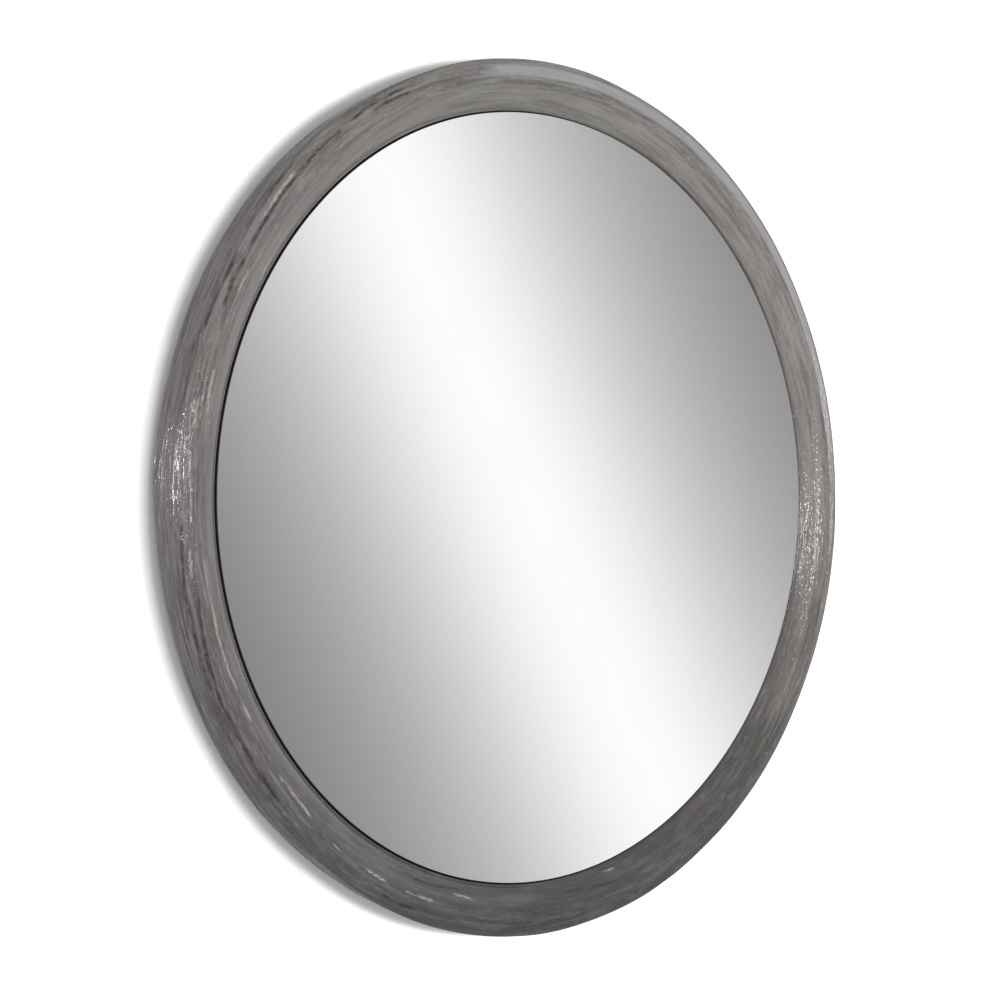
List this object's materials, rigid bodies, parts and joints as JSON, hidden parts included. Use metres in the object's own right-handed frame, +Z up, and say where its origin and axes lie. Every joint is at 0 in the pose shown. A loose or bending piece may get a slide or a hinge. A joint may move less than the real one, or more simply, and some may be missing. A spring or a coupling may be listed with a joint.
{
  "type": "round wall mirror",
  "caption": "Round wall mirror with a deep, ridged smoke-grey acrylic frame round a flat pane, hung by swinging D-shaped rings on the back of its board.",
  "frame": {"origin": "centre of the ring on the wall plane, which the bumper faces touch", "axes": "+X to the right seen from the front, +Z up, the pane faces -Y and the wall lies on the +Y side"},
  "size_m": [0.914, 0.0518, 0.914],
  "materials": {
    "streaked_acrylic": "glossy smoke grey, with carved streaks along the ring",
    "core_board": "routed medium-density fibreboard",
    "painted_board": "fibreboard rolled with matt black paint",
    "mirror_adhesive": "cured mirror adhesive",
    "mirror_glass": "silvered float glass with a ground edge",
    "hanger_steel": "zinc-plated steel",
    "screw_steel": "yellow-passivated zinc plate",
    "bumper_rubber": "matt moulded rubber"
  },
  "bodies": {
    "mirror": {"frame_section_1": "streaked_acrylic", "frame_section_2": "streaked_acrylic", "frame_section_3": "streaked_acrylic", "frame_section_4": "streaked_acrylic", "frame_section_5": "streaked_acrylic", "frame_section_6": "streaked_acrylic", "core_section_1": "core_board", "core_section_2": "core_board", "core_section_3": "core_board", "core_section_4": "core_board", "core_section_5": "core_board", "core_section_6": "core_board", "backboard": "painted_board", "board_screws": "screw_steel", "adhesive_beads": "mirror_adhesive", "mirror_pane": "mirror_glass", "hanger_strap_left": "hanger_steel", "hanger_strap_right": "hanger_steel", "hanger_screws_left": "screw_steel", "hanger_screws_right": "screw_steel", "wall_bumpers": "bumper_rubber"},
    "ring_left": {"hanger_ring_left": "hanger_steel"},
    "ring_right": {"hanger_ring_right": "hanger_steel"}
  },
  "joints": [
    {"name": "left_ring_swing", "type": "hinge", "parent": "mirror", "child": "ring_left", "pos_m": [-0.39948, -0.0032, 0.16384], "axis": [-1, 0, 0], "range_deg": [-3, 175]},
    {"name": "right_ring_swing", "type": "hinge", "parent": "mirror", "child": "ring_right", "pos_m": [0.39948, -0.0032, 0.16384], "axis": [-1, 0, 0], "range_deg": [-3, 175]}
  ]
}
